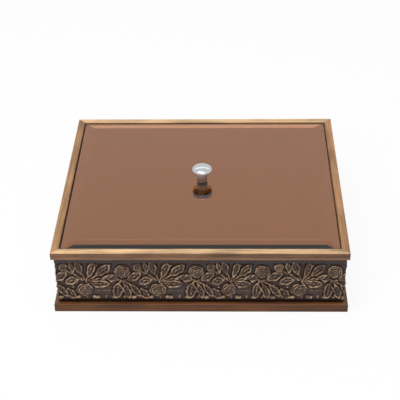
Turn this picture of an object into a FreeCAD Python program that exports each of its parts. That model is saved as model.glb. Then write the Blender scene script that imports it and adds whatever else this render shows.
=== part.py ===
import FreeCAD, Part
import os
import Sketcher

# A low rectangular box. Four wall boards stand on a mitred plinth and carry carved strips outside,
# a mitred rim on top of the strips, and a lift-off lid of bevelled mirror glass on their top edges.
# Millimetres, +Z up, +X to the right, -Y to the front, origin under the middle of the footprint.

SIZES = {
    "rim_length": "300",
    "rim_depth": "258",
    "rim_width": "8",
    "rim_height": "9",
    "rim_round": "1",
    "band_height": "57",
    "band_thickness": "3.7",
    "band_groove_height": "3.4",
    "band_groove_depth": "0.3",
    "band_fillet_height": "6.4",
    "band_fillet_rise": "1.6",
    "carving_rise": "2.4",
    "carving_margin": "1",
    "spray_spread": "36.5",
    "rose_radius": "7",
    "curl_radius": "4.6",
    "plinth_height": "10",
    "plinth_width": "24",
    "plinth_reveal": "5.8",
    "plinth_round": "0.8",
    "wall_thickness": "9",
    "seat_rise": "3.4",
    "rebate_depth": "4.5",
    "base_thickness": "5",
    "base_gap": "0.2",
    "lid_thickness": "6",
    "lid_gap": "1",
    "bevel_width": "13",
    "bevel_drop": "1.7",
    "knob_height": "17.6",
    "knob_head_radius": "11.1",
    "knob_head_edge": "1.5",
    "knob_head_rise": "11.8",
    "knob_collar_radius": "7.1",
    "knob_collar_rise": "8.6",
    "knob_collar_lip": "0.8",
    "knob_neck_radius": "5",
    "knob_foot_radius": "5.8",
    "knob_washer_radius": "5.5",
    "knob_washer_thickness": "0.4",
    "screw_washer_radius": "8",
    "screw_washer_thickness": "1.2",
    "knob_screw_radius": "2",
    "knob_screw_grip": "8",
    "knob_screw_head_radius": "4",
    "knob_screw_head_height": "2.4",
    "knob_bore_gap": "0.05",
    "knob_bore_spare": "1",
    "lid_hole_gap": "0.5",
    "plinth_screw_radius": "1.5",
    "plinth_screw_length": "25",
    "plinth_screw_point": "3",
    "plinth_screw_head_radius": "3",
    "plinth_screw_sink": "0.3",
    "plinth_screw_gap": "0.15",
    "pilot_gap": "0.05",
    "pilot_spare": "0.5",
    "recess_width": "1",
    "recess_reach": "1.7",
    "recess_depth": "1.1",
    "brad_radius": "0.7",
    "brad_length": "20",
    "brad_sink": "0.5",
    "brad_gap": "0.05",
    "brad_spare": "0.5",
    "overrun": "2",
}

# Where the fasteners stand along a board, as shares of its half length or of its height.
PLINTH_SCREW_SHARE = 0.6
BRAD_HEIGHT_SHARES = (0.18, 0.5, 0.82)

# Places of the carved sprays along a strip, of the first and the second kind in turn, as shares of its
# half length.
LONG_SPRAY_SHARES = (-0.806, -0.546, -0.29, -0.027, 0.211, 0.425, 0.708, 0.929)
SHORT_SPRAY_SHARES = (-0.88, -0.59, -0.29, 0.005, 0.29, 0.57, 0.875)

# The main carved forms of each kind of spray, as shares of the spray's spread along the strip, from its
# middle, and of the strip's height, from its foot. A leaf has its base, its tip and its flank's reach
# from the middle; a rose and a curled shoot have their middles.
LEAF_SHARES = (
    (((-0.06, 0.56), (-0.18, 0.91), (0.095, 0.014)),
     ((0.055, 0.56), (0.18, 0.875), (0.085, -0.014)),
     ((0.26, 0.59), (0.61, 0.85), (-0.095, 0.053)),
     ((0.115, 0.45), (0.585, 0.42), (0.01, 0.075)),
     ((-0.32, 0.52), (-0.525, 0.35), (0.065, -0.03)),
     ((-0.53, 0.32), (-0.325, 0.08), (0.07, 0.025))),
    (((-0.1, 0.43), (-0.24, 0.08), (0.125, -0.02)),
     ((0.045, 0.415), (0.13, 0.075), (0.093, 0.01)),
     ((0.125, 0.405), (0.4, 0.165), (0.05, 0.024)),
     ((0.105, 0.505), (0.48, 0.685), (-0.045, 0.04)),
     ((-0.105, 0.5), (-0.42, 0.545), (0.022, 0.067))),
)
ROSE_SHARES = ((-0.06, 0.29), (0.015, 0.68))
CURL_SHARES = (-0.565, 0.795)

# Each side of the box is drawn as the front one and turned about the vertical axis,
# by one more quarter turn for each side in this order.
SIDES = ("front", "right", "back", "left")
QUARTER_TURN = 360 / len(SIDES)

doc = FreeCAD.newDocument("wooden_box")
sheet = doc.addObject("Spreadsheet::Sheet", "sizes")
for row, (alias, text) in enumerate(SIZES.items(), start=1):
    sheet.set(f"A{row}", alias)
    sheet.set(f"B{row}", text)
    sheet.setAlias(f"B{row}", alias)
doc.recompute()

# Levels and half sizes that several pieces share, as expressions on the sheet.
BAND_TOP = "(sizes.plinth_height + sizes.band_height)"
RIM_TOP = f"({BAND_TOP} + sizes.rim_height)"
WALL_TOP = f"({BAND_TOP} + sizes.seat_rise)"
LID_EDGE_TOP = f"({WALL_TOP} + sizes.lid_thickness - sizes.bevel_drop)"
LID_TOP = f"({WALL_TOP} + sizes.lid_thickness)"
KNOB_FOOT = f"({LID_TOP} + sizes.knob_washer_thickness)"
SCREW_SEAT = f"({WALL_TOP} - sizes.screw_washer_thickness)"
RIM_HALF = ("(sizes.rim_length / 2)", "(sizes.rim_depth / 2)")
WALL_HALF = tuple(f"({half} - sizes.rim_width)" for half in RIM_HALF)
ROOM_HALF = tuple(f"({half} - sizes.wall_thickness)" for half in WALL_HALF)
BAND_HALF = tuple(f"({half} + sizes.band_thickness)" for half in WALL_HALF)
PLINTH_HALF = tuple(f"({half} + sizes.plinth_reveal)" for half in BAND_HALF)
LID_HALF = tuple(f"({half} - sizes.lid_gap)" for half in WALL_HALF)
FIELD_HALF = tuple(f"({half} - sizes.bevel_width)" for half in LID_HALF)
BASE_HALF = tuple(f"({half} - sizes.base_gap)" for half in ROOM_HALF)
TONGUE = "(sizes.wall_thickness - sizes.rebate_depth)"
BRAD_DEPTH = f"(sizes.brad_sink + sizes.brad_length - {TONGUE} + sizes.brad_spare)"
PILOT_TOP = "(sizes.plinth_screw_sink + sizes.plinth_screw_length + sizes.pilot_spare)"

parts = []


def number(expression):
    """The present value of an expression on the sheet."""
    return float(sheet.evalExpression(expression))


def side_halves(halves, side):
    """Half length along a side and half distance out to it, in the side's own turned frame."""
    along, out = halves
    return (along, out) if side in ("front", "back") else (out, along)


def new_body(label, side="front"):
    """An empty body turned to its side of the box."""
    body = doc.addObject("PartDesign::Body", label)
    body.Label = label
    angle = QUARTER_TURN * SIDES.index(side)
    body.Placement = FreeCAD.Placement(FreeCAD.Vector(), FreeCAD.Rotation(FreeCAD.Vector(0, 0, 1), angle))
    parts.append(body)
    return body


def origin_feature(body, role):
    """The body's own origin plane or axis of that role."""
    return next(item for item in body.Origin.OriginFeatures if item.Role == role)


def new_sketch(body, name, plane, offset=None):
    """A sketch on an origin plane, moved along the plane's normal by an expression."""
    sketch = body.newObject("Sketcher::SketchObject", f"{body.Name}_{name}")
    sketch.AttachmentSupport = (origin_feature(body, plane), "")
    sketch.MapMode = "FlatFace"
    if offset:
        sketch.setExpression("AttachmentOffset.Base.z", offset)
    return sketch


def place_point(sketch, geometry, end, x, y):
    """Ties one point of a sketch to the origin by two expressions."""
    for kind, expression in (("DistanceX", x), ("DistanceY", y)):
        index = sketch.addConstraint(
            Sketcher.Constraint(kind, -1, 1, geometry, end, number(expression)))
        sketch.setExpression(f"Constraints[{index}]", expression)


def draw_polygons(sketch, outlines):
    """Closed outlines of straight lines through corners given as pairs of expressions."""
    lines, ties, bound = [], [], []
    for corners in outlines:
        first = len(sketch.Geometry) + len(lines)
        points = [FreeCAD.Vector(number(x), number(y), 0) for x, y in corners]
        for index, corner in enumerate(corners):
            following = (index + 1) % len(corners)
            lines.append(Part.LineSegment(points[index], points[following]))
            ties.append(Sketcher.Constraint("Coincident", first + index, 2, first + following, 1))
            for kind, expression in zip(("DistanceX", "DistanceY"), corner):
                bound.append((sketch.ConstraintCount + len(ties), expression))
                ties.append(Sketcher.Constraint(kind, -1, 1, first + index, 1, number(expression)))
    sketch.addGeometry(lines)
    sketch.addConstraint(ties)
    for index, expression in bound:
        sketch.setExpression(f"Constraints[{index}]", expression)


def draw_polygon(sketch, corners):
    """One closed outline of straight lines through corners given as pairs of expressions."""
    draw_polygons(sketch, [corners])


def draw_rectangle(sketch, left, low, right, high):
    """An upright rectangle between four expressions."""
    draw_polygon(sketch, [(left, low), (right, low), (right, high), (left, high)])


def draw_circle(sketch, x, y, radius):
    """A circle whose centre and radius are expressions."""
    centre = FreeCAD.Vector(number(x), number(y), 0)
    circle = sketch.addGeometry(Part.Circle(centre, FreeCAD.Vector(0, 0, 1), number(radius)))
    place_point(sketch, circle, 3, x, y)
    index = sketch.addConstraint(Sketcher.Constraint("Radius", circle, number(radius)))
    sketch.setExpression(f"Constraints[{index}]", radius)


def pad(body, sketch, length, symmetric=False):
    """Raises a sketch by an expression, to one side or half to each side."""
    feature = body.newObject("PartDesign::Pad", f"{sketch.Name}_pad")
    feature.Profile = sketch
    feature.SideType = "Symmetric" if symmetric else "One side"
    feature.setExpression("Length", length)
    return feature


def cut_through(body, sketch):
    """Cuts a sketch right through the body, both ways from its plane."""
    feature = body.newObject("PartDesign::Pocket", f"{sketch.Name}_cut")
    feature.Profile = sketch
    feature.SideType = "Symmetric"
    feature.Type = "ThroughAll"
    return feature


def cut_depth(body, sketch, depth, along_normal=False):
    """Cuts a sketch to a depth, against its plane's normal or along it."""
    feature = body.newObject("PartDesign::Pocket", f"{sketch.Name}_cut")
    feature.Profile = sketch
    feature.Reversed = along_normal
    feature.setExpression("Length", depth)
    return feature


def revolve(body, sketch):
    """Turns a half section about the vertical axis."""
    feature = body.newObject("PartDesign::Revolution", f"{sketch.Name}_turned")
    feature.Profile = sketch
    feature.ReferenceAxis = (origin_feature(body, "Z_Axis"), "")
    return feature


def round_long_edges(body, base, places, radius):
    """Rounds the edges along the strip that lie at the given depths and levels."""
    doc.recompute()
    targets = [(number(y), number(z)) for y, z in places]
    near = Part.Precision.confusion()
    names = []
    for index, edge in enumerate(base.Shape.Edges, start=1):
        ends = [vertex.Point for vertex in edge.Vertexes]
        if any(all(abs(end.y - y) < near and abs(end.z - z) < near for end in ends) for y, z in targets):
            names.append(f"Edge{index}")
    feature = body.newObject("PartDesign::Fillet", f"{body.Name}_round")
    feature.Base = (base, names)
    feature.setExpression("Radius", radius)
    return feature


def cut_mitres(body, half_length, outer, width):
    """Cuts both ends of a strip at 45 degrees, from the outer face's full length inwards."""
    sketch = new_sketch(body, "mitres", "XY_Plane")
    near = f"-{outer} - sizes.overrun"
    far = f"-{outer} + {width} + sizes.overrun"
    tip = f"{half_length} + sizes.overrun"
    toe = f"{half_length} - {width} - sizes.overrun"
    draw_polygon(sketch, [(tip, near), (tip, far), (toe, far)])
    draw_polygon(sketch, [(f"-({tip})", near), (f"-({toe})", far), (f"-({tip})", far)])
    return cut_through(body, sketch)


def strip(body, half_length, section):
    """A straight strip with the given outline in depth and level, along the side."""
    sketch = new_sketch(body, "section", "YZ_Plane")
    draw_polygon(sketch, section)
    return pad(body, sketch, f"2 * {half_length}", symmetric=True)


def make_rim(side):
    """One mitred bar of the rim, seated on the carved strip and against the wall board."""
    half_length, outer = side_halves(RIM_HALF, side)
    body = new_body(f"rim_{side}", side)
    front, back = f"-{outer}", f"-{outer} + sizes.rim_width"
    bar = strip(body, half_length, [(front, BAND_TOP), (back, BAND_TOP), (back, RIM_TOP), (front, RIM_TOP)])
    round_long_edges(
        body, bar, [(front, RIM_TOP), (back, RIM_TOP), (front, BAND_TOP)], "sizes.rim_round")
    cut_mitres(body, half_length, outer, "sizes.rim_width")


def make_band(side):
    """One mitred strip of the carved band: a flat ground between a groove at the foot and a raised fillet at
    the head, with the main forms of the carving raised from it."""
    half_length, outer = side_halves(BAND_HALF, side)
    body = new_body(f"carved_band_{side}", side)
    ground, back = f"-{outer}", f"-{outer} + sizes.band_thickness"
    groove = f"-{outer} + sizes.band_groove_depth"
    fillet = f"-{outer} - sizes.band_fillet_rise"
    foot = "sizes.plinth_height"
    groove_top = "sizes.plinth_height + sizes.band_groove_height"
    fillet_foot = f"{BAND_TOP} - sizes.band_fillet_height"
    reach = f"({half_length} + sizes.carving_rise)"
    strip(body, reach, [
        (groove, foot), (back, foot), (back, BAND_TOP), (fillet, BAND_TOP),
        (fillet, fillet_foot), (ground, fillet_foot), (ground, groove_top), (groove, groove_top)])
    shares = LONG_SPRAY_SHARES if side in ("front", "back") else SHORT_SPRAY_SHARES
    for index, share in enumerate(shares):
        sketch = new_sketch(body, f"spray_{index}", "XZ_Plane", outer)
        draw_spray(sketch, index % len(LEAF_SHARES), f"{share} * {half_length}", half_length)
        pad(body, sketch, "sizes.carving_rise")
    proud = f"({outer} + sizes.carving_rise)"
    cut_mitres(body, reach, proud, "(sizes.band_thickness + sizes.carving_rise)")


def carved_point(place, share):
    """A point of a spray on the face of its strip, as expressions along the strip and up."""
    along, up = share
    return f"{place} + {along} * sizes.spray_spread", f"sizes.plinth_height + {up} * sizes.band_height"


def clears_mitres(points, reach, half_length):
    """Whether a raised form keeps its margin to the strip's ends."""
    limit = number(f"{half_length} - sizes.carving_margin - {reach}")
    return all(abs(number(along)) <= limit for along, _ in points)


def draw_spray(sketch, kind, place, half_length):
    """The outlines of one spray: its leaves, its rose and, on the first kind, its curled shoot."""
    outlines = []
    for base, tip, flank in LEAF_SHARES[kind]:
        left = tuple((start + end) / 2 + aside for start, end, aside in zip(base, tip, flank))
        right = tuple((start + end) / 2 - aside for start, end, aside in zip(base, tip, flank))
        outlines.append([carved_point(place, share) for share in (base, left, tip, right)])
    draw_polygons(sketch, [outline for outline in outlines if clears_mitres(outline, "0", half_length)])
    rounds = [(carved_point(place, ROSE_SHARES[kind]), "sizes.rose_radius")]
    if kind == 0:
        rounds.append((carved_point(place, CURL_SHARES), "sizes.curl_radius"))
    for middle, radius in rounds:
        if clears_mitres([middle], radius, half_length):
            draw_circle(sketch, *middle, radius)


def wall_middle(out):
    """Depth of the middle of a wall board, in its side's frame."""
    return f"-{out} + sizes.wall_thickness / 2"


def plinth_screw_places(side):
    """Places of one side's plinth screws under the middle of its wall board."""
    along, out = side_halves(WALL_HALF, side)
    return [(f"{sign * PLINTH_SCREW_SHARE} * {along}", wall_middle(out)) for sign in (-1, 1)]


def make_plinth(side):
    """One mitred strip of the plinth with countersunk holes for its screws."""
    half_length, outer = side_halves(PLINTH_HALF, side)
    body = new_body(f"plinth_{side}", side)
    front, back = f"-{outer}", f"-{outer} + sizes.plinth_width"
    top = "sizes.plinth_height"
    bar = strip(body, half_length, [(front, "0"), (back, "0"), (back, top), (front, top)])
    round_long_edges(body, bar, [(front, top), (front, "0")], "sizes.plinth_round")
    cut_mitres(body, half_length, outer, "sizes.plinth_width")
    sketch = new_sketch(body, "screw_holes", "XY_Plane")
    for x, y in plinth_screw_places(side):
        draw_circle(sketch, x, y, "sizes.plinth_screw_radius")
    doc.recompute()
    hole = body.newObject("PartDesign::Hole", f"{body.Name}_screw_hole")
    hole.Profile = sketch
    hole.Reversed = True
    hole.DepthType = "ThroughAll"
    hole.setExpression("Diameter", "2 * (sizes.plinth_screw_radius + sizes.plinth_screw_gap)")
    hole.HoleCutType = "Countersink"
    hole.HoleCutCountersinkAngle = 90
    hole.setExpression(
        "HoleCutDiameter",
        "2 * (sizes.plinth_screw_head_radius + sizes.plinth_screw_gap + sizes.plinth_screw_sink)")


def brad_levels():
    """Levels of the brads at a wall corner."""
    height = f"({WALL_TOP} - sizes.plinth_height)"
    return [f"sizes.plinth_height + {share} * {height}" for share in BRAD_HEIGHT_SHARES]


def make_wall(side):
    """One wall board. Front and back have rebated ends, which the side boards' ends fit into."""
    along, out = side_halves(WALL_HALF, side)
    rebated = side in ("front", "back")
    half_length = along if rebated else f"({along} - {TONGUE})"
    body = new_body(f"wall_{side}", side)
    front, back = f"-{out}", f"-{out} + sizes.wall_thickness"
    foot = "sizes.plinth_height"
    strip(body, half_length, [(front, foot), (back, foot), (back, WALL_TOP), (front, WALL_TOP)])
    if rebated:
        cut_rebates(body, along, out)
        cut_brad_holes_across(body, along)
    else:
        cut_brad_holes_in_ends(body, half_length, out)
    sketch = new_sketch(body, "pilots", "XY_Plane")
    for x, y in plinth_screw_places(side):
        draw_circle(sketch, x, y, "sizes.plinth_screw_radius + sizes.pilot_gap")
    cut_depth(body, sketch, PILOT_TOP, along_normal=True)


def cut_rebates(body, along, out):
    """Steps in both ends of a wall board, as wide as the side board is thick."""
    sketch = new_sketch(body, "rebates", "XY_Plane")
    shoulder = f"{along} - sizes.wall_thickness"
    tip = f"{along} + sizes.overrun"
    low = f"-{out} + {TONGUE}"
    high = f"-{out} + sizes.wall_thickness + sizes.overrun"
    draw_rectangle(sketch, shoulder, low, tip, high)
    draw_rectangle(sketch, f"-({tip})", low, f"-({shoulder})", high)
    cut_through(body, sketch)


def cut_brad_holes_across(body, along):
    """Brad holes through the tongues at both ends of a wall board."""
    sketch = new_sketch(body, "brad_holes", "XZ_Plane")
    for sign in (-1, 1):
        for level in brad_levels():
            x = f"{sign} * ({along} - sizes.wall_thickness / 2)"
            draw_circle(sketch, x, level, "sizes.brad_radius + sizes.brad_gap")
    cut_through(body, sketch)


def cut_brad_holes_in_ends(body, half_length, out):
    """Blind brad holes in both ends of a side board."""
    for name, sign in (("near", -1), ("far", 1)):
        sketch = new_sketch(body, f"brad_holes_{name}", "YZ_Plane", f"{sign} * {half_length}")
        for level in brad_levels():
            draw_circle(sketch, wall_middle(out), level, "sizes.brad_radius + sizes.brad_gap")
        cut_depth(body, sketch, BRAD_DEPTH, along_normal=sign < 0)


def make_base_panel():
    """The panel that lies inside the walls on the plinth's inner ledge."""
    body = new_body("base_panel")
    sketch = new_sketch(body, "outline", "XY_Plane", "sizes.plinth_height")
    draw_rectangle(sketch, f"-{BASE_HALF[0]}", f"-{BASE_HALF[1]}", BASE_HALF[0], BASE_HALF[1])
    pad(body, sketch, "sizes.base_thickness")


def make_lid_mirror():
    """The mirror plate with a wide ground bevel all round and the knob screw's hole."""
    body = new_body("lid_mirror")
    sketch = new_sketch(body, "outline", "XY_Plane", WALL_TOP)
    draw_rectangle(sketch, f"-{LID_HALF[0]}", f"-{LID_HALF[1]}", LID_HALF[0], LID_HALF[1])
    pad(body, sketch, "sizes.lid_thickness - sizes.bevel_drop")
    edge = new_sketch(body, "bevel_foot", "XY_Plane", LID_EDGE_TOP)
    draw_rectangle(edge, f"-{LID_HALF[0]}", f"-{LID_HALF[1]}", LID_HALF[0], LID_HALF[1])
    field = new_sketch(body, "bevel_head", "XY_Plane", LID_TOP)
    draw_rectangle(field, f"-{FIELD_HALF[0]}", f"-{FIELD_HALF[1]}", FIELD_HALF[0], FIELD_HALF[1])
    bevel = body.newObject("PartDesign::AdditiveLoft", f"{body.Name}_bevel")
    bevel.Profile = edge
    bevel.Sections = [field]
    bevel.Ruled = True
    hole = new_sketch(body, "screw_hole", "XY_Plane")
    draw_circle(hole, "0", "0", "sizes.knob_screw_radius + sizes.lid_hole_gap")
    cut_through(body, hole)


def make_washer(label, radius, low, thickness, bore_gap):
    """A flat ring on the knob screw."""
    body = new_body(label)
    sketch = new_sketch(body, "ring", "XY_Plane", low)
    draw_circle(sketch, "0", "0", radius)
    draw_circle(sketch, "0", "0", f"sizes.knob_screw_radius + {bore_gap}")
    pad(body, sketch, thickness)


def make_knob():
    """The turned mushroom knob: flared stem, lip, neck and domed head, with a blind bore below."""
    body = new_body("knob")
    sketch = new_sketch(body, "half_section", "XZ_Plane")
    bore = "sizes.knob_screw_radius + sizes.knob_bore_gap"
    bore_top = f"{KNOB_FOOT} + sizes.knob_screw_grip + sizes.knob_bore_spare"
    lip_foot = f"{KNOB_FOOT} + sizes.knob_collar_rise"
    lip_top = f"{lip_foot} + sizes.knob_collar_lip"
    under_head = f"{KNOB_FOOT} + sizes.knob_head_rise"
    edge_level = f"{under_head} + sizes.knob_head_edge"
    edge_middle = "sizes.knob_head_radius - sizes.knob_head_edge"
    crown = f"{KNOB_FOOT} + sizes.knob_height"
    corners = [
        (edge_middle, under_head), ("sizes.knob_neck_radius", under_head),
        ("sizes.knob_neck_radius", lip_top), ("sizes.knob_collar_radius", lip_top),
        ("sizes.knob_collar_radius", lip_foot), ("sizes.knob_foot_radius", KNOB_FOOT),
        (bore, KNOB_FOOT), (bore, bore_top), ("0", bore_top), ("0", crown)]
    points = [FreeCAD.Vector(number(x), number(z), 0) for x, z in corners]
    flank = corners.index(("sizes.knob_collar_radius", lip_foot))
    for index, (start, end) in enumerate(zip(points, points[1:])):
        if index == flank:
            sketch.addGeometry(flared_arc(start, end))
        else:
            sketch.addGeometry(Part.LineSegment(start, end))
    for index in range(len(points) - 2):
        sketch.addConstraint(Sketcher.Constraint("Coincident", index, 2, index + 1, 1))
    for index, (x, z) in enumerate(corners[:-1]):
        place_point(sketch, index, 1, x, z)
    place_point(sketch, len(points) - 2, 2, *corners[-1])
    flank_level = sketch.addConstraint(
        Sketcher.Constraint("DistanceY", -1, 1, flank, 3, number(KNOB_FOOT)))
    sketch.setExpression(f"Constraints[{flank_level}]", KNOB_FOOT)
    draw_head(sketch, len(points) - 2, edge_middle, edge_level, crown)
    revolve(body, sketch)


def flared_arc(wide, foot):
    """The stem's hollow flank, upright at the foot and flaring to the wide end."""
    spread = wide.x - foot.x
    rise = wide.y - foot.y
    radius = (spread * spread + rise * rise) / (2 * spread)
    centre = FreeCAD.Vector(foot.x + radius, foot.y, 0)
    circle = Part.Circle(centre, FreeCAD.Vector(0, 0, 1), radius)
    return Part.ArcOfCircle(circle, circle.parameter(wide), circle.parameter(foot))


def draw_head(sketch, axis_line, edge_middle, edge_level, crown):
    """The head's round edge and the dome that runs on from it, closing the knob's half section."""
    across = number(edge_middle)
    edge = number("sizes.knob_head_edge")
    rise = number(crown) - number(edge_level)
    dome = (across * across + rise * rise - edge * edge) / (2 * (rise - edge))
    edge_centre = FreeCAD.Vector(across, number(edge_level), 0)
    dome_centre = FreeCAD.Vector(0, number(crown) - dome, 0)
    touch = dome_centre + (edge_centre - dome_centre).normalize() * dome
    upright = FreeCAD.Vector(0, 0, 1)
    edge_circle = Part.Circle(edge_centre, upright, edge)
    dome_circle = Part.Circle(dome_centre, upright, dome)
    under = edge_centre - FreeCAD.Vector(0, edge, 0)
    top = FreeCAD.Vector(0, number(crown), 0)
    edge_arc = sketch.addGeometry(Part.ArcOfCircle(
        edge_circle, edge_circle.parameter(under), edge_circle.parameter(touch)))
    dome_arc = sketch.addGeometry(Part.ArcOfCircle(
        dome_circle, dome_circle.parameter(touch), dome_circle.parameter(top)))
    sketch.addConstraint(Sketcher.Constraint("Coincident", edge_arc, 1, 0, 1))
    sketch.addConstraint(Sketcher.Constraint("Tangent", edge_arc, 2, dome_arc, 1))
    sketch.addConstraint(Sketcher.Constraint("Coincident", dome_arc, 2, axis_line, 2))
    sketch.addConstraint(Sketcher.Constraint("PointOnObject", dome_arc, 3, -2))
    place_point(sketch, edge_arc, 3, edge_middle, edge_level)


def draw_cross(sketch):
    """The outline of a cross recess about the origin."""
    near, far = "sizes.recess_width / 2", "sizes.recess_reach"
    arm = [(far, f"-{near}"), (far, near), (near, near)]
    draw_polygon(sketch, [turned(x, y, side) for side in SIDES for x, y in arm])


def make_knob_screw():
    """The machine screw that comes up through the lid into the knob."""
    body = new_body("knob_screw")
    head_low = f"{SCREW_SEAT} - sizes.knob_screw_head_height"
    tip = f"{KNOB_FOOT} + sizes.knob_screw_grip"
    sketch = new_sketch(body, "half_section", "XZ_Plane")
    draw_polygon(sketch, [
        ("0", head_low), ("sizes.knob_screw_head_radius", head_low),
        ("sizes.knob_screw_head_radius", SCREW_SEAT), ("sizes.knob_screw_radius", SCREW_SEAT),
        ("sizes.knob_screw_radius", tip), ("0", tip)])
    revolve(body, sketch)
    cross = new_sketch(body, "cross", "XY_Plane", head_low)
    draw_cross(cross)
    cut_depth(body, cross, "sizes.recess_depth", along_normal=True)


def group(label, members):
    """Separate identical fasteners kept together under one name."""
    compound = doc.addObject("Part::Compound", label)
    compound.Label = label
    compound.Links = members
    parts.append(compound)


def make_plinth_screws():
    """The countersunk screws that hold the plinth to the wall boards, driven from below."""
    low = "sizes.plinth_screw_sink"
    tip = f"{low} + sizes.plinth_screw_length"
    neck = f"{low} + sizes.plinth_screw_head_radius - sizes.plinth_screw_radius"
    screws = []
    for side in SIDES:
        for index, (x, y) in enumerate(plinth_screw_places(side)):
            screw = doc.addObject("PartDesign::Body", f"plinth_screw_{side}_{index}")
            sketch = new_sketch(screw, "half_section", "XZ_Plane")
            draw_polygon(sketch, [
                ("0", low), ("sizes.plinth_screw_head_radius", low), ("sizes.plinth_screw_radius", neck),
                ("sizes.plinth_screw_radius", f"{tip} - sizes.plinth_screw_point"), ("0", tip)])
            revolve(screw, sketch)
            cross = new_sketch(screw, "cross", "XY_Plane", low)
            draw_cross(cross)
            cut_depth(screw, cross, "sizes.recess_depth", along_normal=True)
            turned_x, turned_y = turned(x, y, side)
            screw.setExpression("Placement.Base.x", turned_x)
            screw.setExpression("Placement.Base.y", turned_y)
            screws.append(screw)
    group("plinth_screws", screws)


def turned(x, y, side):
    """A place in a side's frame as expressions in the box's frame."""
    for _ in range(SIDES.index(side)):
        x, y = f"-({y})", x
    return x, y


def make_wall_brads():
    """The headless brads driven through the tongues of front and back into the side boards' ends."""
    along, out = WALL_HALF
    brads = []
    for side_sign in (-1, 1):
        for end_sign in (-1, 1):
            for level in brad_levels():
                brad = doc.addObject("Part::Cylinder", f"wall_brad_{len(brads)}")
                brad.setExpression("Radius", "sizes.brad_radius")
                brad.setExpression("Height", "sizes.brad_length")
                brad.Placement.Rotation = FreeCAD.Rotation(FreeCAD.Vector(1, 0, 0), 90 * side_sign)
                brad.setExpression("Placement.Base.x", f"{end_sign} * ({along} - sizes.wall_thickness / 2)")
                brad.setExpression("Placement.Base.y", f"{side_sign} * ({out} - sizes.brad_sink)")
                brad.setExpression("Placement.Base.z", level)
                brads.append(brad)
    group("wall_brads", brads)


def check_document():
    """Stops unless every object is sound, every cut takes material and every piece is a valid solid."""
    for item in doc.Objects:
        if "Invalid" in item.State or "Error" in item.State:
            raise RuntimeError(f"{item.Name} failed: {item.State}")
        if item.TypeId in ("PartDesign::Pocket", "PartDesign::Hole"):
            if item.Shape.Volume >= item.BaseFeature.Shape.Volume:
                raise RuntimeError(f"{item.Name} cuts nothing")
        if item.TypeId == "PartDesign::Pad" and item.BaseFeature:
            if item.Shape.Volume <= item.BaseFeature.Shape.Volume:
                raise RuntimeError(f"{item.Name} adds nothing")
    for item in parts:
        if item.Shape.isNull() or not item.Shape.isValid():
            raise RuntimeError(f"{item.Label} has no valid shape")


for side in SIDES:
    make_plinth(side)
    make_wall(side)
    make_band(side)
    make_rim(side)
make_base_panel()
make_plinth_screws()
make_wall_brads()
make_lid_mirror()
make_washer("knob_washer", "sizes.knob_washer_radius", LID_TOP, "sizes.knob_washer_thickness",
            "sizes.knob_bore_gap")
make_knob()
make_washer("screw_washer", "sizes.screw_washer_radius", SCREW_SEAT, "sizes.screw_washer_thickness",
            "sizes.knob_bore_gap")
make_knob_screw()
doc.recompute()
check_document()

os.makedirs("parts", exist_ok=True)
for item in parts:
    item.Shape.exportStep(f"parts/{item.Label}.step")
    print(item.Label, len(item.Shape.Solids), round(item.Shape.Volume, 1))
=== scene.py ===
"""Wooden serving box with carved bands and a bevelled mirror lid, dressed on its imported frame."""
import math

import bmesh
import bpy
import numpy as np
from bpy.props import FloatProperty, FloatVectorProperty, IntProperty, PointerProperty
from bpy.types import Operator, Panel, PropertyGroup
from mathutils import Matrix, Vector


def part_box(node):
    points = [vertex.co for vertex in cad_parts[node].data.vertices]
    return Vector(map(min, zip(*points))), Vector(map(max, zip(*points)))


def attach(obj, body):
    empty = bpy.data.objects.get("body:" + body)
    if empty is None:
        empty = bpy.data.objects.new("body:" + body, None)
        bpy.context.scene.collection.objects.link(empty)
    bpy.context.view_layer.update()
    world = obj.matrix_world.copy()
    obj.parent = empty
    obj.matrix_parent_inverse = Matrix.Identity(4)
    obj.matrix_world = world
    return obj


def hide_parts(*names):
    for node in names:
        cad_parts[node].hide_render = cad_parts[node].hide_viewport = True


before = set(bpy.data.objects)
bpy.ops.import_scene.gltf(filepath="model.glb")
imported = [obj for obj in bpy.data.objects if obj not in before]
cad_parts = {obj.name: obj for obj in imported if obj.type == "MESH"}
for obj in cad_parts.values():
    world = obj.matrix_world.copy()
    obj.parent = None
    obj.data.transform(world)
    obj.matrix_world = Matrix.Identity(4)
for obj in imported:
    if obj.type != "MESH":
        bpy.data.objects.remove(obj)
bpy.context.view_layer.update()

bl_info = {
    "name": "Wooden box",
    "version": (1, 0, 0),
    "blender": (4, 5, 0),
    "location": "View3D > Sidebar > Wooden box",
    "description": "Carved wood, satin timber, bronze mirror and chrome for a lidded wooden box",
    "category": "Object",
}

MM = 0.001
SIDES = ("front", "right", "back", "left")
BOX_BODY, LID_BODY = "box", "lid"


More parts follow.
